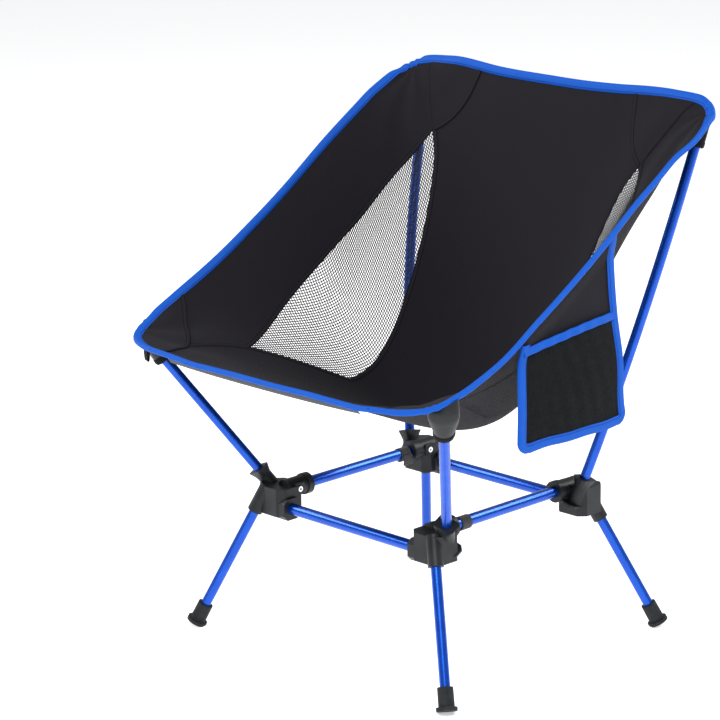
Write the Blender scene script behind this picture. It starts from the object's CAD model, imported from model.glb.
import math

import bmesh
import bpy
from mathutils import Matrix, Vector


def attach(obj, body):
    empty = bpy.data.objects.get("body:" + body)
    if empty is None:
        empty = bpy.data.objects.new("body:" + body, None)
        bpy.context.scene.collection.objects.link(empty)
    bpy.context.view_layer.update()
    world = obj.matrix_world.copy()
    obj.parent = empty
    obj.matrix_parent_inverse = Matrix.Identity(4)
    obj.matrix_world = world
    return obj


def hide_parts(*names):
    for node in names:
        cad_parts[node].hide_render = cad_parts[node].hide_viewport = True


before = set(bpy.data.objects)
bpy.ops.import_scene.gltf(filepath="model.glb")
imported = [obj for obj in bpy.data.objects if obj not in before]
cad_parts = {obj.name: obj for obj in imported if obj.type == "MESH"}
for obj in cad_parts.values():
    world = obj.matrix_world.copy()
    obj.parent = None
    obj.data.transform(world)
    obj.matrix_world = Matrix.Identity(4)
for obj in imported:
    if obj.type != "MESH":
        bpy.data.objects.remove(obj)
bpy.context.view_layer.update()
bpy.ops.object.select_all(action="DESELECT")

# ---- camera --------------------------------------------------------------------
# A long lens well above the seat, out in front of the sitter's left side, so that
# the chair shows its open bucket, its left side pocket and all four legs.
camera_turn = math.radians(45.99)
camera_drop = math.radians(15.17)
camera_roll = math.radians(-0.91)
look = Vector((
    -math.sin(camera_turn) * math.cos(camera_drop),
    math.cos(camera_turn) * math.cos(camera_drop),
    -math.sin(camera_drop),
))
level = Vector((math.cos(camera_turn), math.sin(camera_turn), 0))
upright = level.cross(look)
across = level * math.cos(camera_roll) + upright * math.sin(camera_roll)
above = upright * math.cos(camera_roll) - level * math.sin(camera_roll)
bpy.ops.object.camera_add(location=(2.5626, -2.5738, 1.3431))
camera = bpy.context.object
camera.name = "camera"
camera.data.lens = 151.34
camera.data.sensor_width = 36
turned = Matrix((across, above, -look)).transposed()
camera.rotation_euler = turned.to_euler()
bpy.context.scene.camera = camera

# ---- floor and lights ----------------------------------------------------------
# A plain white floor in an even white studio, with one large soft key light on
# the sitter's left, a weaker one on the right and a third from behind.
bpy.ops.mesh.primitive_plane_add(size=14)
floor = bpy.context.object
floor.name = "studio_floor"
floor_paint = bpy.data.materials.new("floor_paint")
floor_paint.use_nodes = True
paint = floor_paint.node_tree.nodes["Principled BSDF"]
paint.inputs["Base Color"].default_value = (1.0, 1.0, 1.0, 1)
paint.inputs["Roughness"].default_value = 1.0
paint.inputs["Emission Color"].default_value = (1, 1, 1, 1)
paint.inputs["Emission Strength"].default_value = 0.45
paint.inputs["Specular IOR Level"].default_value = 0.1
floor.data.materials.append(floor_paint)

world = bpy.data.worlds.new("studio")
world.use_nodes = True
backdrop = world.node_tree.nodes["Background"]
backdrop.inputs["Color"].default_value = (1, 1, 1, 1)
backdrop.inputs["Strength"].default_value = 1.0
room = world.node_tree.nodes.new("ShaderNodeBackground")
room.inputs["Color"].default_value = (0.97, 0.98, 1.0, 1)
room.inputs["Strength"].default_value = 0.42
which_ray = world.node_tree.nodes.new("ShaderNodeLightPath")
either = world.node_tree.nodes.new("ShaderNodeMixShader")
world.node_tree.links.new(which_ray.outputs["Is Camera Ray"], either.inputs["Fac"])
world.node_tree.links.new(room.outputs["Background"], either.inputs[1])
world.node_tree.links.new(backdrop.outputs["Background"], either.inputs[2])
sky = world.node_tree.nodes["World Output"]
world.node_tree.links.new(either.outputs["Shader"], sky.inputs["Surface"])
bpy.context.scene.world = world
bpy.context.scene.view_settings.view_transform = "Standard"


def soft_light(name, place, target, size, power):
    """A square area light that faces a point of the chair."""
    bpy.ops.object.light_add(type="AREA", location=place)
    light = bpy.context.object
    light.name = name
    light.data.size = size
    light.data.energy = power
    light.rotation_euler = (Vector(target) - Vector(place)).to_track_quat("-Z", "Y").to_euler()


soft_light("key_light", (1.6, -1.9, 2.7), (0, 0, 0.35), 1.2, 80)
soft_light("fill_light", (-2.4, -1.2, 1.9), (0, 0, 0.35), 1.4, 52)
soft_light("back_light", (1.2, 2.2, 2.2), (0, 0, 0.3), 1.4, 60)
bpy.ops.object.select_all(action="DESELECT")

# ---- tubes ---------------------------------------------------------------------
# Legs, poles and bars: drawn aluminium tube, polished along its length and
# anodised a deep bright blue, cut to length and pushed into the hubs.


def new_material(name, colour, roughness):
    """A material with its shader's own colour and roughness set."""
    made = bpy.data.materials.new(name)
    made.use_nodes = True
    shader = made.node_tree.nodes["Principled BSDF"]
    shader.inputs["Base Color"].default_value = (*colour, 1)
    shader.inputs["Roughness"].default_value = roughness
    return made, shader


def add_node(material, kind, **inputs):
    """A node of that kind with some of its input sockets set by name."""
    node = material.node_tree.nodes.new(kind)
    for socket, value in inputs.items():
        node.inputs[socket.replace("_", " ")].default_value = value
    return node


def bump_from(material, height, strength, distance):
    """Feed a height socket into the shader's normal."""
    bump = add_node(material, "ShaderNodeBump", Strength=strength, Distance=distance)
    links = material.node_tree.links
    links.new(height, bump.inputs["Height"])
    links.new(bump.outputs["Normal"], material.node_tree.nodes["Principled BSDF"].inputs["Normal"])
    return bump


def object_noise(material, scale, detail=3.0, stretch=(1, 1, 1)):
    """Noise on object coordinates."""
    place = material.node_tree.nodes.new("ShaderNodeTexCoord")
    mapping = material.node_tree.nodes.new("ShaderNodeMapping")
    mapping.inputs["Scale"].default_value = stretch
    noise = add_node(material, "ShaderNodeTexNoise", Scale=scale, Detail=detail)
    links = material.node_tree.links
    links.new(place.outputs["Object"], mapping.inputs["Vector"])
    links.new(mapping.outputs["Vector"], noise.inputs["Vector"])
    return noise.outputs["Fac"]


def colour_between(material, factor, low, high, start=0.3, end=0.7):
    """Feed a ramp between two colours into the shader's base colour."""
    ramp = material.node_tree.nodes.new("ShaderNodeValToRGB")
    ramp.color_ramp.elements[0].position = start
    ramp.color_ramp.elements[0].color = (*low, 1)
    ramp.color_ramp.elements[1].position = end
    ramp.color_ramp.elements[1].color = (*high, 1)
    links = material.node_tree.links
    links.new(factor, ramp.inputs["Fac"])
    links.new(ramp.outputs["Color"], material.node_tree.nodes["Principled BSDF"].inputs["Base Color"])
    return ramp


blue_tube, shader = new_material("blue_anodised_tube", (0.0, 0.085, 0.62), 0.27)
shader.inputs["Metallic"].default_value = 0.72
shader.inputs["Specular IOR Level"].default_value = 0.6
shader.inputs["Coat Weight"].default_value = 0.25
shader.inputs["Coat Roughness"].default_value = 0.12
colour_between(blue_tube, object_noise(blue_tube, 60), (0.0, 0.062, 0.47), (0.0, 0.080, 0.55))
bump_from(blue_tube, object_noise(blue_tube, 900), 0.05, 0.0004)


def paint_node(node, material):
    """Give a CAD node its material."""
    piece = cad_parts[node]
    if piece.material_slots:
        for holder in piece.material_slots:
            holder.material = material
    else:
        piece.data.materials.append(material)


both = ("left", "right")
for bar in ("front_cross_bar", "rear_cross_bar", "side_bar_left", "side_bar_right"):
    paint_node(bar, blue_tube)
for tube in ("front_leg", "rear_leg", "front_pole", "rear_pole_lower", "rear_pole_upper"):
    for hand in both:
        paint_node(f"{tube}_{hand}", blue_tube)

# ---- ferrules, rivets and shock cord --------------------------------------------
# Bare drawn aluminium ferrules join the two lengths of each rear pole; hollow
# rolled steel rivets hold the side bars; braided elastic cord runs in the legs.
bare_metal, shader = new_material("bare_metal", (0.78, 0.79, 0.81), 0.22)
shader.inputs["Metallic"].default_value = 1.0
bump_from(bare_metal, object_noise(bare_metal, 700), 0.06, 0.0003)
paint_node("rivets", bare_metal)
for hand in both:
    paint_node(f"rear_pole_ferrule_{hand}", bare_metal)

cord_braid, shader = new_material("elastic_braid", (0.03, 0.03, 0.034), 0.75)
braid = add_node(cord_braid, "ShaderNodeTexVoronoi", Scale=900.0)
cord_place = cord_braid.node_tree.nodes.new("ShaderNodeTexCoord")
cord_braid.node_tree.links.new(cord_place.outputs["Object"], braid.inputs["Vector"])
bump_from(cord_braid, braid.outputs["Distance"], 0.5, 0.0006)
for hand in both:
    paint_node(f"front_leg_cord_{hand}", cord_braid)
    paint_node(f"rear_leg_cord_{hand}", cord_braid)

# ---- hubs and pole plugs ---------------------------------------------------------
# Glass-filled nylon hubs, injection moulded in one piece with a fine spark-eroded
# grain; the plugs on the pole tips are the same plastic.
hub_nylon, shader = new_material("hub_nylon", (0.010, 0.011, 0.013), 0.42)
shader.inputs["Specular IOR Level"].default_value = 0.28
colour_between(hub_nylon, object_noise(hub_nylon, 45), (0.008, 0.009, 0.011), (0.017, 0.019, 0.022))
grain = bump_from(hub_nylon, object_noise(hub_nylon, 1600, 2.0), 0.25, 0.0004)
worn_edges = add_node(hub_nylon, "ShaderNodeBevel", Radius=0.0009)
hub_nylon.node_tree.links.new(worn_edges.outputs["Normal"], grain.inputs["Normal"])
for end in ("front", "rear"):
    for hand in both:
        paint_node(f"{end}_hub_{hand}", hub_nylon)
        paint_node(f"{end}_pole_tip_{hand}", hub_nylon)

# ---- feet -------------------------------------------------------------------------
# Moulded rubber feet, pushed on to the legs; a wide sole keeps them out of soft
# ground, and the surface is matt with a little dust in its grain.
foot_rubber, shader = new_material("foot_rubber", (0.012, 0.013, 0.015), 0.65)
shader.inputs["Specular IOR Level"].default_value = 0.22
colour_between(foot_rubber, object_noise(foot_rubber, 120), (0.009, 0.010, 0.011), (0.020, 0.021, 0.024))
grain = bump_from(foot_rubber, object_noise(foot_rubber, 1300, 2.0), 0.3, 0.0004)
worn_edges = add_node(foot_rubber, "ShaderNodeBevel", Radius=0.0011)
foot_rubber.node_tree.links.new(worn_edges.outputs["Normal"], grain.inputs["Normal"])
for end in ("front", "rear"):
    for hand in both:
        paint_node(f"{end}_foot_{hand}", foot_rubber)

# ---- seat centre panel -------------------------------------------------------------
# The seat and back are one length of plain-woven polyester, cut to a waist
# between the mesh windows and sewn to them and to the wings.
seat_half = 0.272           # half width at the side edge
seat_front = -0.271
seat_back = 0.258
front_z = 0.3865
back_z = 0.6785
low_y = 0.048               # lowest point of the bucket
low_z = 0.2635
edge_front_z = 0.392
edge_rise = 0.286
cloth_thick = 0.0008
weave_pitch = 0.0009


def rounded_power(t, power):
    """t ** power with its tip rounded off, 0 at 0 and 1 at 1."""
    tip = 0.12
    low = tip ** power
    high = (1 + tip ** 2) ** (power / 2)
    return ((t * t + tip * tip) ** (power / 2) - low) / (high - low)


def smooth(t):
    """An even step from 0 to 1, flat at both ends."""
    t = min(1.0, max(0.0, t))
    return t * t * (3 - 2 * t)


def seat_height(x, y):
    """The bucket: a taut front, a curved back and steep sides."""
    if y < low_y:
        middle = low_z + (front_z - low_z) * rounded_power((low_y - y) / (low_y - seat_front), 1.0)
    else:
        middle = low_z + (back_z - low_z) * rounded_power((y - low_y) / (seat_back - low_y), 1.55)
    t = min(1.0, max(0.0, (y + 0.275) / 0.555))
    edge = edge_front_z + edge_rise * (0.5 * t ** 1.5 + 0.5 * smooth(t))
    power = 2.5 - 0.8 * smooth((y + 0.02) / 0.22)
    return middle + (edge - middle) * rounded_power(abs(x) / seat_half, power)


def creases(x, y):
    """Shallow folds that run out to the four corners, where the cloth is pulled."""
    lift = 0.0
    for corner_x, corner_y, count, depth in (
        (0.262, -0.238, 9, 0.0011), (-0.262, -0.238, 9, 0.0011),
        (0.25, 0.25, 8, 0.0016), (-0.25, 0.25, 8, 0.0016),
    ):
        reach = math.hypot(x - corner_x, y - corner_y)
        turn = math.atan2(y - corner_y, x - corner_x)
        fade = math.exp(-((reach - 0.09) / 0.075) ** 2)
        lift += depth * fade * math.sin(count * turn + 1.3 * math.sin(reach * 40))
    lift += 0.0007 * math.sin(31 * x + 17 * y) * math.sin(23 * y - 11 * x)
    return lift


def cloth_point(x, y, raised=0.0):
    """A point on the cloth, raised along its normal."""
    step = 0.0005
    z = seat_height(x, y)
    slope_x = (seat_height(x + step, y) - z) / step
    slope_y = (seat_height(x, y + step) - z) / step
    normal = Vector((-slope_x, -slope_y, 1)).normalized()
    return Vector((x, y, z)) + normal * (raised + creases(x, y))


def along(keys, t, closed=False):
    """A smooth line through plan points; a doubled point is a corner."""
    count = len(keys)
    spans = [k for k in range(count if closed else count - 1) if keys[k] != keys[(k + 1) % count]]
    place = min(max(t, 0.0), 1.0) * len(spans)
    turn = min(int(place), len(spans) - 1)
    share = place - turn
    first = spans[turn]

    def key(k):
        return Vector(keys[k % count] if closed else keys[min(max(k, 0), count - 1)])

    before, start, end, after = key(first - 1), key(first), key(first + 1), key(first + 2)
    near = (end - before) / 2
    far = (after - start) / 2
    square, cube = share ** 2, share ** 3
    return (
        start * (2 * cube - 3 * square + 1) + near * (cube - 2 * square + share)
        + end * (3 * square - 2 * cube) + far * (cube - square)
    )


def flip_side(keys):
    """The same plan points on the other side of the chair."""
    return [(-x, y) for x, y in keys]


def flat_grid(name, columns, rows):
    """A new sheet of columns by rows squares, one unit wide and high."""
    bpy.ops.mesh.primitive_grid_add(x_subdivisions=columns, y_subdivisions=rows, size=1)
    piece = bpy.context.object
    piece.name = name
    return piece


def pick(piece):
    """Make a piece the only one that the next operators work on."""
    bpy.ops.object.select_all(action="DESELECT")
    bpy.context.view_layer.objects.active = piece
    piece.select_set(True)


def thicken(piece, thickness, offset=0):
    """Give a sheet its cloth's thickness."""
    solid = piece.modifiers.new("cloth", "SOLIDIFY")
    solid.thickness = thickness
    solid.offset = offset
    pick(piece)
    bpy.ops.object.modifier_apply(modifier=solid.name)
    piece.select_set(False)


def soften(piece, degrees):
    """Shade a piece smooth, except over edges sharper than that."""
    pick(piece)
    bpy.ops.object.shade_smooth_by_angle(angle=math.radians(degrees))
    piece.select_set(False)


def edit_all(piece, operator, **settings):
    """Run one edit operator on everything in a piece."""
    pick(piece)
    bpy.ops.object.mode_set(mode="EDIT")
    bpy.ops.mesh.select_all(action="SELECT")
    operator(**settings)
    bpy.ops.object.mode_set(mode="OBJECT")
    piece.select_set(False)


def lay_lengths(piece, places):
    """Set the UV map from one place for each vertex, in metres."""
    layer = piece.data.uv_layers[0]
    for loop in piece.data.loops:
        layer.data[loop.index].uv = places[loop.vertex_index]


def face_up(piece):
    """Turn a sheet's faces so that they point up."""
    if sum(face.normal.z * face.area for face in piece.data.polygons) < 0:
        edit_all(piece, bpy.ops.mesh.flip_normals)


def sew_panel(name, inner_keys, outer_keys, columns, rows, raised=0.0, sag=None):
    """A sheet between two seams, with its weave laid out in metres on its UV map."""
    piece = flat_grid(name, columns, rows)
    for corner in piece.data.vertices:
        across_share = corner.co.x + 0.5
        down_share = corner.co.y + 0.5
        inner_end = along(inner_keys, down_share)
        outer_end = along(outer_keys, down_share)
        spot = inner_end.lerp(outer_end, across_share)
        if sag:
            spot.y += sag(spot.x, down_share)
        corner.co = cloth_point(spot.x, spot.y, raised)
    measure_weave(piece, columns + 1, rows + 1)
    face_up(piece)
    thicken(piece, cloth_thick)
    soften(piece, 40)
    return piece


def measure_weave(piece, wide, high):
    """Set the UV map to lengths along the cloth, in metres, row by row."""
    points = [corner.co.copy() for corner in piece.data.vertices]
    middle = wide // 2
    places = [None] * len(points)
    rise = 0.0
    for row in range(high):
        base = row * wide
        if row:
            rise += (points[base + middle] - points[base - wide + middle]).length
        for column in range(wide):
            places[base + column] = [0.0, rise]
        for step in (1, -1):
            run = 0.0
            column = middle
            while 0 <= column + step < wide:
                run += step * (points[base + column + step] - points[base + column]).length
                column += step
                places[base + column][0] = run
    lay_lengths(piece, places)


def uv_maths(material):
    """A material's UV lengths, and a function that adds a sum on them."""
    place = material.node_tree.nodes.new("ShaderNodeTexCoord")
    split = material.node_tree.nodes.new("ShaderNodeSeparateXYZ")
    links = material.node_tree.links
    links.new(place.outputs["UV"], split.inputs["Vector"])

    def step(operation, first, second=None):
        node = material.node_tree.nodes.new("ShaderNodeMath")
        node.operation = operation
        for socket, value in zip(node.inputs, (first, second)):
            if isinstance(value, (int, float)):
                socket.default_value = value
            elif value is not None:
                links.new(value, socket)
        return node.outputs[0]

    return split.outputs, step


def weave_height(material, pitch):
    """Over-and-under threads of a plain weave, on a UV map in metres."""
    lengths, step = uv_maths(material)
    waves = [step("SINE", step("MULTIPLY", lengths[axis], math.pi / pitch)) for axis in ("X", "Y")]
    return step("MULTIPLY", waves[0], waves[1])


seat_cloth, shader = new_material("seat_cloth", (0.015, 0.013, 0.018), 0.85)
shader.inputs["Sheen Weight"].default_value = 0.03
shader.inputs["Sheen Roughness"].default_value = 0.5
shader.inputs["Specular IOR Level"].default_value = 0.12
weave = weave_height(seat_cloth, weave_pitch)
colour_between(seat_cloth, weave, (0.008, 0.007, 0.010), (0.022, 0.0195, 0.026), 0.0, 1.0)
bump_from(seat_cloth, weave, 0.5, 0.0003)

front_seam = [(0.188, -0.2705), (0.196, -0.235), (0.200, -0.198), (0.179, -0.125), (0.122, 0.002)]
window_inner = [
    (0.122, 0.002), (0.129, 0.050), (0.131, 0.105), (0.138, 0.155), (0.156, 0.197), (0.178, 0.216),
]
back_seam = [(0.178, 0.216), (0.198, 0.232), (0.218, 0.252), (0.226, 0.2625)]
panel_edge = front_seam + window_inner + back_seam


back_sag = 0.0055


def hollow_back(x, down_share):
    """The back edge dips forward between its two corners."""
    return -back_sag * (1 - (x / back_seam[-1][0]) ** 2) * smooth((down_share - 0.86) / 0.14)


centre_panel = sew_panel("centre_panel", flip_side(panel_edge), panel_edge, 96, 150, sag=hollow_back)
centre_panel.data.materials.append(seat_cloth)
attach(centre_panel, "seat")
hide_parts("seat_centre_panel")

# ---- wings ---------------------------------------------------------------------------
# Two side wings of the same cloth run from the front edge to the shoulders and
# carry the pull of the side edges round the mesh windows.
window_outer = [
    (0.179, -0.125), (0.213, -0.027), (0.223, 0.052), (0.215, 0.115), (0.201, 0.171), (0.178, 0.216),
]
wing_inner = (
    front_seam[:3] + [window_outer[0]] + window_outer + [window_outer[-1]] + back_seam[1:]
)
wing_outer = [
    (0.188, -0.2705), (0.225, -0.2575), (0.258, -0.229), (0.272, -0.165), (0.272, -0.150), (0.2712, -0.060),
    (0.2712, 0.040), (0.272, 0.110), (0.2722, 0.165), (0.272, 0.198), (0.2705, 0.215), (0.265, 0.238),
    (0.253, 0.2565), (0.226, 0.2625),
]
for hand, turn_over in zip(both, (list, flip_side)):
    wing = sew_panel(f"wing_{hand}", turn_over(wing_inner), turn_over(wing_outer), 30, 150)
    wing.data.materials.append(seat_cloth)
    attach(wing, "seat")
    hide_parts(f"seat_wing_{hand}")

# ---- mesh windows ----------------------------------------------------------------------
# Open square net between the waist of the centre panel and each wing: knitted
# threads that cross about every four millimetres, its edge caught in the seams.
net_pitch = 0.0037
net_thread = 0.0015
net_thick = 0.0006
net_columns = 66
net_sunk = 0.0006           # below the panels, so that the seams cover its edge
net_middle = (0.172, 0.06)
net_yarn, shader = new_material("net_yarn", (0.015, 0.015, 0.018), 0.75)
shader.inputs["Specular IOR Level"].default_value = 0.2
bump_from(net_yarn, object_noise(net_yarn, 2500, 2.0), 0.4, 0.0002)
colour_between(net_yarn, object_noise(net_yarn, 300), (0.010, 0.010, 0.012), (0.026, 0.025, 0.030))


def inside(keys, x, y):
    """Whether a plan point lies within a closed outline."""
    found = False
    for (x0, y0), (x1, y1) in zip(keys, keys[1:] + keys[:1]):
        if (y0 > y) != (y1 > y) and x < x0 + (x1 - x0) * (y - y0) / (y1 - y0):
            found = not found
    return found


def steps_along(start, end, pitch, height):
    """Plan stations whose spacing along the cloth is one pitch."""
    stations = [start]
    place = start
    while place < end:
        slope = (height(place + 0.001) - height(place)) / 0.001
        place += pitch / math.sqrt(1 + slope * slope)
        stations.append(place)
    return stations


def knit_holes(piece, thread, thick):
    """Cut a hole in every square of a grid and leave flat threads between them."""
    body = bmesh.new()
    body.from_mesh(piece.data)
    squares = list(body.faces)
    bmesh.ops.inset_individual(body, faces=squares, thickness=thread / 2, use_even_offset=False)
    bmesh.ops.delete(body, geom=squares, context="FACES")
    body.to_mesh(piece.data)
    body.free()
    thicken(piece, thick)


def net_window(name, side):
    """Net squares kept where they lie inside the window, or just under its seams."""
    rim = [tuple(along(window_inner, k / 24)) for k in range(25)]
    rim += [tuple(along(window_outer, k / 24)) for k in range(24, -1, -1)]
    middle_x, middle_y = net_middle
    grown = [(x + (x - middle_x) * 0.05, y + (y - middle_y) * 0.02) for x, y in rim]
    rows = steps_along(-0.130, 0.222, net_pitch, lambda y: seat_height(middle_x, y))
    piece = flat_grid(name, net_columns, len(rows) - 1)
    wide = net_columns + 1
    for row, y in enumerate(rows):
        columns = steps_along(0.108, 0.30, net_pitch, lambda x: seat_height(x, y))
        for column in range(wide):
            x = columns[min(column, len(columns) - 1)]
            piece.data.vertices[row * wide + column].co = (x, y, 0)
    bpy.context.view_layer.objects.active = piece
    bpy.ops.object.mode_set(mode="EDIT")
    bpy.ops.mesh.select_mode(type="FACE")
    bpy.ops.object.mode_set(mode="OBJECT")
    for face in piece.data.polygons:
        face.select = not inside(grown, face.center.x, face.center.y)
    bpy.ops.object.mode_set(mode="EDIT")
    bpy.ops.mesh.delete(type="FACE")
    bpy.ops.object.mode_set(mode="OBJECT")
    for corner in piece.data.vertices:
        corner.co = cloth_point(side * corner.co.x, corner.co.y, -net_sunk)
    knit_holes(piece, net_thread, net_thick)
    return piece


for hand, side in zip(both, (1, -1)):
    window = net_window(f"net_window_{hand}", side)
    window.data.materials.append(net_yarn)
    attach(window, "seat")
    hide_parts(f"mesh_window_{hand}")

# ---- seams -------------------------------------------------------------------------------
# Felled seams: the cloth is folded over itself and held by two rows of lockstitch
# in black thread, seven millimetres wide over the joins and six round the patches.
seam_cloth, shader = new_material("felled_seam", (0.012, 0.011, 0.014), 0.85)
shader.inputs["Specular IOR Level"].default_value = 0.12
seam_thick = 0.0007


def stitched(material, half_width, rows, pitch, depth):
    """Rows of stitches either side of a strip's middle; gives back where they run."""
    lengths, step = uv_maths(material)
    off_middle = step("ABSOLUTE", lengths["X"])
    off_row = step("ABSOLUTE", step("SUBTRACT", off_middle, rows))
    in_row = step("LESS_THAN", off_row, half_width)
    wave = step("SINE", step("MULTIPLY", lengths["Y"], 2 * math.pi / pitch))
    in_stitch = step("GREATER_THAN", wave, -0.35)
    height = step("MULTIPLY", in_row, in_stitch)
    bump_from(material, step("SUBTRACT", height, step("MULTIPLY", in_row, 0.6)), 0.8, depth)
    return in_row


row = stitched(seam_cloth, half_width=0.0005, rows=0.0024, pitch=0.0032, depth=0.0005)
colour_between(seam_cloth, row, (0.013, 0.0115, 0.0155), (0.003, 0.0028, 0.004), 0.0, 1.0)


def strip_along(name, points, normals, width, thick):
    """A soft flat band along a line, crowned a little, with its UV map in metres."""
    section = [(-0.5, 0.0), (-0.42, 0.75), (0.0, 1.0), (0.42, 0.75), (0.5, 0.0)]
    wide = len(section)
    piece = flat_grid(name, wide - 1, len(points) - 1)
    travelled = 0.0
    places = []
    for row_index, (point, normal) in enumerate(zip(points, normals)):
        ahead = points[min(row_index + 1, len(points) - 1)]
        behind = points[max(row_index - 1, 0)]
        side_way = (ahead - behind).cross(normal).normalized()
        if row_index:
            travelled += (point - points[row_index - 1]).length
        for column, (share, rise) in enumerate(section):
            spot = point + side_way * (share * width) + normal * (rise * thick)
            piece.data.vertices[row_index * wide + column].co = spot
            places.append((share * width, travelled))
    lay_lengths(piece, places)
    thicken(piece, thick * 0.8, -1)
    edit_all(piece, bpy.ops.mesh.normals_make_consistent, inside=False)
    soften(piece, 50)
    return piece


def cloth_normal(x, y):
    """The way out of the cloth, without its creases."""
    step = 0.0005
    z = seat_height(x, y)
    rise_x = seat_height(x + step, y) - z
    rise_y = seat_height(x, y + step) - z
    return Vector((-rise_x, -rise_y, step)).normalized()


def seam_band(name, keys, raised, width=0.007, count=90):
    """A felled seam laid on the cloth along plan keys."""
    plan = [along(keys, k / count) for k in range(count + 1)]
    points = [cloth_point(p.x, p.y, raised) for p in plan]
    normals = [cloth_normal(p.x, p.y) for p in plan]
    band = strip_along(name, points, normals, width, seam_thick)
    band.data.materials.append(seam_cloth)
    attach(band, "seat")


front_arc = [
    (0.2705, -0.150), (0.256, -0.158), (0.241, -0.170), (0.218, -0.186), (0.200, -0.204), (0.189, -0.235),
    (0.186, -0.268),
]
rear_arc = [(0.176, 0.214), (0.158, 0.226), (0.143, 0.240), (0.133, 0.257)]
for hand, turn_over in zip(both, (list, flip_side)):
    seam_band(f"front_seam_{hand}", turn_over(front_seam), 0.0005)
    seam_band(f"window_inner_seam_{hand}", turn_over(window_inner), 0.0005)
    seam_band(f"window_outer_seam_{hand}", turn_over(window_outer), 0.0006)
    seam_band(f"back_seam_{hand}", turn_over(back_seam), 0.0005, count=30)

# ---- corner patches -------------------------------------------------------------------------
# A second layer of the seat cloth reinforces each corner where the pole tips
# pull; its curved edge is turned under and sewn down with two rows of stitches.
patch_raised = 0.0011
front_corner = [
    (0.2725, -0.150), (0.270, -0.190), (0.262, -0.224), (0.248, -0.243), (0.230, -0.254), (0.208, -0.262),
    (0.186, -0.2690),
]
rear_corner = [(0.179, 0.214), (0.198, 0.231), (0.216, 0.249), (0.2245, 0.2615)]
for end, arc, corner_edge in (("front", front_arc, front_corner), ("rear", rear_arc, rear_corner)):
    for hand, turn_over in zip(both, (list, flip_side)):
        patch = sew_panel(
            f"{end}_patch_{hand}", turn_over(arc), turn_over(corner_edge), 24, 40, raised=patch_raised
        )
        patch.data.materials.append(seat_cloth)
        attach(patch, "seat")
        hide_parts(f"{end}_corner_patch_{hand}")
        seam_band(f"{end}_patch_seam_{hand}", turn_over(arc), 0.0013, width=0.006, count=50)

# ---- edge binding ------------------------------------------------------------------------------
# Bright blue woven tape, folded over the raw edge of the seat all the way round
# and sewn through near its inner edge with thread of the same blue.
edge_half = [
    (0, -0.270), (0.110, -0.270), (0.195, -0.265), (0.248, -0.243), (0.269, -0.200), (0.273, -0.150),
    (0.271, 0), (0.272, 0.150), (0.272, 0.205), (0.264, 0.243), (0.240, 0.262), (0.190, 0.262),
    (0.100, 0.258), (0, 0.257),
]
edge_keys = edge_half + flip_side(edge_half[-2:0:-1])
blue_tape, shader = new_material("blue_woven_tape", (0.0, 0.09, 0.62), 0.62)
shader.inputs["Specular IOR Level"].default_value = 0.2
rib_pitch = 0.0011
stitch_pitch = 0.003
stitch_row = 0.0094         # from the folded edge
tape_thick = 0.0005
rim_count = 420


def tape_finish(material, row_at):
    """Fine ribs across the tape, and one sunk row of stitches."""
    lengths, step = uv_maths(material)
    rib = step("SINE", step("MULTIPLY", lengths["Y"], 2 * math.pi / rib_pitch))
    off_row = step("ABSOLUTE", step("SUBTRACT", lengths["X"], row_at))
    groove = step("LESS_THAN", off_row, 0.0005)
    wave = step("SINE", step("MULTIPLY", lengths["Y"], 2 * math.pi / stitch_pitch))
    stitch_mark = step("MULTIPLY", groove, step("GREATER_THAN", wave, -0.3))
    height = step("ADD", step("MULTIPLY", rib, 0.25), step("SUBTRACT", stitch_mark, groove))
    bump_from(material, height, 0.6, 0.0004)
    shade = step("ADD", step("MULTIPLY", rib, 0.06), step("SUBTRACT", 0.6, step("MULTIPLY", groove, 0.5)))
    colour_between(material, shade, (0.0, 0.028, 0.27), (0.0, 0.095, 0.52), 0.0, 0.75)


tape_finish(blue_tape, stitch_row)


def edge_spot(t):
    """Edge point, the way in across the cloth and the cloth's normal, at a share of the rim."""
    here = along(edge_keys, t, closed=True)
    ahead = along(edge_keys, (t + 0.0005) % 1.0, closed=True)
    run = (ahead - here).normalized()
    inward = Vector((-run.y, run.x))
    rim = cloth_point(here.x, here.y)
    deeper = cloth_point(here.x + inward.x * 0.002, here.y + inward.y * 0.002)
    way_in = (deeper - rim).normalized()
    forward = (cloth_point(ahead.x, ahead.y) - rim).normalized()
    normal = forward.cross(way_in).normalized()
    if normal.z < 0:
        normal.negate()
    return rim, way_in, normal


def fold_tape(name, stations, width=0.0118, outer=0.0048, full=1.0, closed=True, wander=0.0):
    """Tape folded over an edge: a flat loop of section swept along edge stations."""
    section = [
        (width, 0.0008), (width * 0.97, 0.0016), (width * 0.75, 0.0022), (width * 0.5, 0.0026 * full),
        (width * 0.22, 0.0028 * full), (width * 0.05, 0.0020 * full), (0.0, 0.0),
        (width * 0.05, -0.0026 * full), (width * 0.22, -0.0036 * full), (width * 0.5, -0.0032 * full),
        (width * 0.75, -0.0024), (width * 0.97, -0.0016), (width, -0.0008),
    ]
    wide = len(section)
    rows = len(stations) + (1 if closed else 0)
    piece = flat_grid(name, wide - 1, rows - 1)
    travelled = 0.0
    places = []
    last = None
    for row_index in range(rows):
        rim, way_in, normal = stations[row_index % len(stations)]
        if last is not None:
            travelled += (rim - last).length
        last = rim
        shake = wander * math.sin(travelled * 31) * math.sin(travelled * 13 + 1)
        for column, (reach, rise) in enumerate(section):
            spot = rim + way_in * (reach - outer + shake) + normal * rise
            piece.data.vertices[row_index * wide + column].co = spot
            places.append((reach, travelled))
    lay_lengths(piece, places)
    edit_all(piece, bpy.ops.mesh.remove_doubles, threshold=0.00001)
    thicken(piece, tape_thick)
    edit_all(piece, bpy.ops.mesh.normals_make_consistent, inside=False)
    soften(piece, 60)
    return piece


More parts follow.
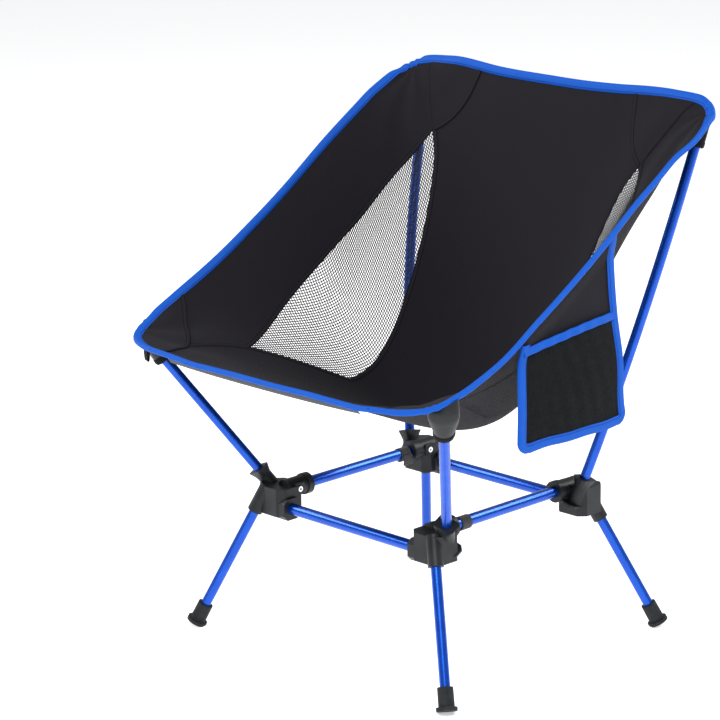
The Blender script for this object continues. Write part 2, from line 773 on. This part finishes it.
rim_stations = [edge_spot(k / rim_count) for k in range(rim_count)]
seat_tape = fold_tape("seat_edge_tape", rim_stations, wander=0.0005)
seat_tape.data.materials.append(blue_tape)
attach(seat_tape, "seat")
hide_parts("edge_binding")

# ---- front pole pockets ------------------------------------------------------------------
# Pockets of glossy coated cloth hang under the front corners; each opens round
# its pole in a thick rolled rim and spreads flat where it is sewn to the seat.
coated, shader = new_material("coated_cloth", (0.005, 0.006, 0.008), 0.4)
shader.inputs["Specular IOR Level"].default_value = 0.35
shader.inputs["Coat Weight"].default_value = 0.06
shader.inputs["Coat Roughness"].default_value = 0.2
bump_from(coated, object_noise(coated, 120, 3.0), 0.35, 0.0012)
black_web, shader = new_material("black_webbing", (0.007, 0.007, 0.008), 0.8)
shader.inputs["Specular IOR Level"].default_value = 0.15
bump_from(black_web, object_noise(black_web, 1400, 2.0, (1, 1, 0.35)), 0.7, 0.0006)
under_clear = 0.0012
shield_bend = 0.036


def sleeve(name, centre, axis, along_edge, rings, bend_at=1.0):
    """A cloth sleeve: oval rings (distance, half width, half depth) joined along an
    axis, and straight up beyond the distance where it bends."""
    count = 48
    outward = axis.cross(along_edge).normalized()
    bpy.ops.mesh.primitive_cylinder_add(vertices=count, end_fill_type="NOTHING")
    piece = bpy.context.object
    piece.name = name
    body = bmesh.new()
    rows = []
    for distance, wide, deep in rings:
        ring = []
        for k in range(count):
            turn = 2 * math.pi * k / count
            spot = centre + axis * min(distance, bend_at) + Vector((0, 0, max(0.0, distance - bend_at)))
            spot += along_edge * (wide * math.cos(turn)) + outward * (deep * math.sin(turn))
            ring.append(body.verts.new(spot))
        rows.append(ring)
    for low, high in zip(rows, rows[1:]):
        for k in range(count):
            body.faces.new((low[k], low[(k + 1) % count], high[(k + 1) % count], high[k]))
    bmesh.ops.recalc_face_normals(body, faces=body.faces)
    body.to_mesh(piece.data)
    body.free()
    thicken(piece, cloth_thick, 1)
    soften(piece, 50)
    return piece


def under_cloth(piece):
    """Keep a piece's points below the seat's cloth."""
    for corner in piece.data.vertices:
        roof = seat_height(corner.co.x, corner.co.y) - under_clear
        corner.co.z = min(corner.co.z, roof)


for hand, side in zip(both, (1, -1)):
    mouth = Vector((side * 0.2446, -0.2028, 0.355))
    axis = Vector((side * 0.4229, -0.4482, 0.7876))
    edge_way = Vector((0.727, side * 0.686, 0))
    shield = [
        (0.0045, 0.0112, 0.0112), (0.010, 0.0122, 0.0110), (0.016, 0.0138, 0.0104),
        (0.022, 0.0154, 0.0097), (0.029, 0.0168, 0.0090), (0.036, 0.0176, 0.0084),
        (0.044, 0.0172, 0.0078), (0.052, 0.0166, 0.0072), (0.060, 0.0160, 0.0066),
    ]
    pocket = sleeve(f"front_pole_pocket_{hand}", mouth, axis, edge_way, shield, bend_at=shield_bend)
    under_cloth(pocket)
    pocket.data.materials.append(coated)
    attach(pocket, "seat")
    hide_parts(f"front_tip_pocket_{hand}")
    rolled = [
        (0.0052, 0.0080, 0.0080), (0.0002, 0.0082, 0.0082), (-0.0010, 0.0096, 0.0096),
        (-0.0002, 0.0116, 0.0114), (0.0026, 0.0124, 0.0122), (0.0054, 0.0124, 0.0120),
        (0.0074, 0.0121, 0.0115),
    ]
    rim = sleeve(f"front_pocket_rim_{hand}", mouth, axis, edge_way, rolled)
    rim.data.materials.append(black_web)
    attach(rim, "seat")

# ---- rear pole sleeves ---------------------------------------------------------------------
# Narrow black sleeves under the back corners, each with a hemmed mouth; the
# plug on the pole's tip pushes up into the corner of the cloth.
for hand, side in zip(both, (1, -1)):
    mouth = Vector((side * 0.2326, 0.2530, 0.621))
    axis = Vector((side * 0.0810, 0.3066, 0.9484))
    edge_way = Vector((0.966, -side * 0.255, 0))
    tube_rings = [
        (0.0070, 0.0078, 0.0078), (0.0004, 0.0080, 0.0080), (-0.0006, 0.0090, 0.0090),
        (0.0008, 0.0100, 0.0100), (0.0058, 0.0102, 0.0101), (0.0066, 0.0096, 0.0095),
        (0.016, 0.0098, 0.0094), (0.026, 0.0106, 0.0090), (0.036, 0.0124, 0.0080), (0.046, 0.0150, 0.0060),
    ]
    sleeve_piece = sleeve(f"rear_pole_sleeve_{hand}", mouth, axis, edge_way, tube_rings)
    under_cloth(sleeve_piece)
    sleeve_piece.data.materials.append(black_web)
    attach(sleeve_piece, "seat")
    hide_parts(f"rear_tip_pocket_{hand}")

# ---- front hem ------------------------------------------------------------------------------
# A strip of dark webbing stiffens the front edge; it is sewn behind the blue
# tape and shows as a narrow band below it.
hem_web, shader = new_material("hem_webbing", (0.045, 0.047, 0.052), 0.7)
bump_from(hem_web, object_noise(hem_web, 1400, 2.0, (0.35, 1, 1)), 0.6, 0.0005)
hem_half = 0.165
hem_y = -0.2625
hem_drop = 0.0050
hem_steps = 80
hem_points = []
for k in range(hem_steps + 1):
    x = -hem_half + 2 * hem_half * k / hem_steps
    hem_points.append(Vector((x, hem_y, seat_height(x, hem_y) - hem_drop)))
hem_normals = [Vector((0, -0.80, -0.60))] * len(hem_points)
hem = strip_along("front_hem", hem_points, hem_normals, width=0.0135, thick=0.0012)
hem.data.materials.append(hem_web)
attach(hem, "seat")
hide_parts("front_hem_tape")

# ---- pull tab ---------------------------------------------------------------------------------
# A short folded loop of webbing under the sitter's right front corner, to pull
# the pocket off its pole.
loop_steps = 24
loop_top = (-0.2220, -0.2500, 0.3790)
loop_half_width = 0.0055
loop_thick = 0.0013
loop_points = []
for k in range(loop_steps + 1):
    turn = math.pi * (k / loop_steps) * 1.15 - 0.25
    loop_points.append((0.0105 * math.sin(turn), 0.0028 * math.cos(turn)))
tab = flat_grid("pull_loop", 2, loop_steps)
for row, (drop, spread) in enumerate(loop_points):
    for column in range(3):
        shift = (column - 1) * loop_half_width
        corner = tab.data.vertices[row * 3 + column]
        corner.co = (
            loop_top[0] + shift * 0.93 + spread * 0.3,
            loop_top[1] - shift * 0.37 - spread,
            loop_top[2] - drop * 1.25,
        )
thicken(tab, loop_thick)
soften(tab, 40)
tab.data.materials.append(black_web)
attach(tab, "seat")
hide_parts("pull_tab")

# ---- side pocket: panel ---------------------------------------------------------------------------
# A flat panel of seat cloth hangs from the left side edge and carries a net
# pouch; its bottom corners are rounded and the whole edge is bound in blue tape.
pocket_x = 0.2646
pocket_front = -0.098
pocket_back = 0.057
floor_back = 0.090
floor_z = 0.3125
mouth_z = 0.440
mouth_rise = 0.016          # towards the back
corner_radius = 0.012
panel_columns = 36
panel_rows = 70


def pocket_top(y):
    """The height at which the panel meets the seat's side edge."""
    return seat_height(0.2715, y) - 0.0005


def pocket_edges(z):
    """The panel's front and back y at a height, rounded in at the bottom."""
    top = pocket_top(pocket_back)
    share = min(1.0, max(0.0, (top - z) / (top - floor_z)))
    front = pocket_front + 0.001 * share + 0.0012 * math.sin(z * 60)
    back = pocket_back + (floor_back - pocket_back) * share + 0.0016 * math.sin(z * 48 + 1.2)
    up = z - floor_z
    if up < corner_radius:
        inset = corner_radius - math.sqrt(max(0.0, corner_radius ** 2 - (corner_radius - up) ** 2))
        front += inset
        back -= inset
    return front, back


def panel_sway(y, z):
    """The panel hangs almost flat, with a soft wave towards its foot."""
    low = smooth((0.50 - z) / 0.18)
    near_top = smooth(1 - (pocket_top(y) - z) / 0.035)
    return 0.0012 * low * math.sin((y + 0.03) * 38) + 0.0006 * math.sin(z * 70) + 0.0066 * near_top


def hanging_sheet(name, columns, rows, place):
    """A sheet whose points are placed by their shares across and up."""
    piece = flat_grid(name, columns, rows)
    for corner in piece.data.vertices:
        corner.co = place(corner.co.x + 0.5, corner.co.y + 0.5)
    return piece


def panel_place(across_share, up_share):
    """A point of the panel; its top edge is found from a first guess of y."""
    guess = pocket_front + (pocket_back - pocket_front) * across_share
    z = floor_z + (pocket_top(guess) - floor_z) * up_share
    front, back = pocket_edges(z)
    y = front + (back - front) * across_share
    z = floor_z + (pocket_top(y) - floor_z) * up_share
    return pocket_x + panel_sway(y, z), y, z


panel = hanging_sheet("side_pocket_panel", panel_columns, panel_rows, panel_place)
measure_weave(panel, panel_columns + 1, panel_rows + 1)
thicken(panel, cloth_thick)
soften(panel, 40)
panel.data.materials.append(seat_cloth)
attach(panel, "side_pocket")
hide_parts("pocket_panel")

# ---- side pocket: net pouch -------------------------------------------------------------------------
# Fine black warp-knitted net, cut a little wider than the panel so that it
# bellies out; held in the bound edges and gathered by the tape at its mouth.
pouch_thread = 0.0012
pouch_thick = 0.0005
pouch_belly = 0.0078
pouch_gap = 0.0009


def pouch_place(across_share, up_share):
    """A point of the pouch, which bellies out from the panel between its edges."""
    mouth = mouth_z - 0.005 + mouth_rise * across_share + 0.003 * math.sin(math.pi * across_share)
    z = floor_z + (mouth - floor_z) * up_share
    front, back = pocket_edges(z)
    y = front + (back - front) * across_share
    fullness = 0.35 + 0.65 * math.sin(math.pi * min(1.0, up_share * 0.86) ** 0.8)
    swell = math.sin(math.pi * across_share) ** 0.8 * fullness
    swell *= smooth(up_share / 0.20) * smooth(min(across_share, 1 - across_share) / 0.12)
    ripple = 0.0006 * math.sin(y * 260 + z * 90) * math.sin(math.pi * across_share)
    x = pocket_x + panel_sway(y, z) + pouch_gap + pouch_belly * swell + ripple * smooth(up_share / 0.2)
    return x, y, z


pouch = hanging_sheet("side_pocket_pouch", 72, 52, pouch_place)
knit_holes(pouch, pouch_thread, pouch_thick)
pouch_yarn, shader = new_material("pouch_yarn", (0.006, 0.008, 0.010), 0.8)
shader.inputs["Specular IOR Level"].default_value = 0.15
colour_between(pouch_yarn, object_noise(pouch_yarn, 200), (0.004, 0.006, 0.007), (0.010, 0.012, 0.014))
pouch.data.materials.append(pouch_yarn)
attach(pouch, "side_pocket")
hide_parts("pocket_pouch")

# ---- side pocket: binding -----------------------------------------------------------------------------
# The same blue tape folded over the pocket's edge, from the seat's side edge
# down round both bottom corners and up again, and along the pouch's mouth.
rim_line = []
top_front = pocket_top(pocket_front) - 0.008
top_back = pocket_top(pocket_back)
corner_z = floor_z + corner_radius
corner_front, corner_back = pocket_edges(corner_z)
for k in range(36):
    z = top_front + (corner_z - top_front) * k / 36
    rim_line.append((pocket_edges(z)[0], z))
for k in range(13):
    turn = math.pi / 2 * k / 12
    y = corner_front + corner_radius * (1 - math.cos(turn))
    rim_line.append((y, floor_z + corner_radius * (1 - math.sin(turn))))
foot_start = rim_line[-1][0]
foot_end = corner_back - corner_radius
for k in range(1, 40):
    y = foot_start + (foot_end - foot_start) * k / 40
    rim_line.append((y, floor_z + 0.0006 * math.sin(y * 90)))
for k in range(13):
    turn = math.pi / 2 * k / 12
    y = corner_back - corner_radius * (1 - math.sin(turn))
    rim_line.append((y, floor_z + corner_radius * (1 - math.cos(turn))))
for k in range(1, 50):
    z = corner_z + (top_back - corner_z) * k / 49
    rim_line.append((pocket_edges(z)[1], z))


def pocket_stations(line, lift):
    """Rim point, way in and normal at each point of a line on the pocket."""
    stations = []
    for k, (y, z) in enumerate(line):
        y0, z0 = line[max(k - 1, 0)]
        y1, z1 = line[min(k + 1, len(line) - 1)]
        run = Vector((0, y1 - y0, z1 - z0)).normalized()
        way_in = Vector((1, 0, 0)).cross(run)
        stations.append((Vector((pocket_x + panel_sway(y, z) + lift, y, z)), way_in, Vector((1, 0, 0))))
    return stations


edge_tape = fold_tape(
    "pocket_edge_tape", pocket_stations(rim_line, 0.0004), outer=0.0025, full=0.8, closed=False, wander=0.0009
)
edge_tape.data.materials.append(blue_tape)
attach(edge_tape, "side_pocket")
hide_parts("pocket_binding")

mouth_stations = []
for k in range(61):
    share = 0.012 + 0.976 * k / 60
    x, y, z = pouch_place(share, 1.0)
    mouth_stations.append((Vector((x, y, z + 0.002)), Vector((0, 0, -1)), Vector((1, 0, 0))))
mouth_tape = fold_tape(
    "pouch_mouth_tape", mouth_stations, width=0.0095, outer=0.0, full=0.7, closed=False, wander=0.0006
)
mouth_tape.data.materials.append(blue_tape)
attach(mouth_tape, "side_pocket")

# ---- storage straps -----------------------------------------------------------------------------------
# Short hook-and-loop straps that hold the bundle when the frame is folded; each
# is wrapped round its side bar, with the end of the wrap curling away.
strap_pile, shader = new_material("hook_and_loop", (0.010, 0.010, 0.011), 0.9)
shader.inputs["Sheen Weight"].default_value = 0.3
bump_from(strap_pile, object_noise(strap_pile, 1600, 3.0), 1.0, 0.0008)
bar_x = 0.128
bar_z = 0.187
wrap_reach = 0.0076         # from the middle of the bar to the first turn
wrap_overlap = 0.0019
wrap_width = 0.016
wrap_thick = 0.0014
wrap_columns = 4
for hand, side, y in (("left", 1, -0.052), ("right", -1, 0.100)):
    wrap = []
    for k in range(64):
        turn = -0.55 * math.pi + 2.55 * math.pi * k / 63
        reach = wrap_reach + wrap_overlap * smooth((k - 30) / 30)
        wrap.append((-side * reach * math.cos(turn), reach * math.sin(turn)))
    last_x, last_z = wrap[-1]
    for k in range(1, 13):
        wrap.append((last_x - side * 0.0010 * math.sin(k / 4), last_z - 0.0011 * k))
    strap = flat_grid(f"storage_wrap_{hand}", wrap_columns, len(wrap) - 1)
    for row, (x, z) in enumerate(wrap):
        skew = 0.0010 * (row / len(wrap) - 0.5)
        for column in range(wrap_columns + 1):
            spread = (column / wrap_columns - 0.5) * wrap_width
            corner = strap.data.vertices[row * (wrap_columns + 1) + column]
            corner.co = (side * bar_x + x, y + spread + skew, bar_z + z)
    thicken(strap, wrap_thick)
    soften(strap, 40)
    strap.data.materials.append(strap_pile)
    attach(strap, f"strap_{hand}")
    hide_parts(f"storage_strap_{hand}")
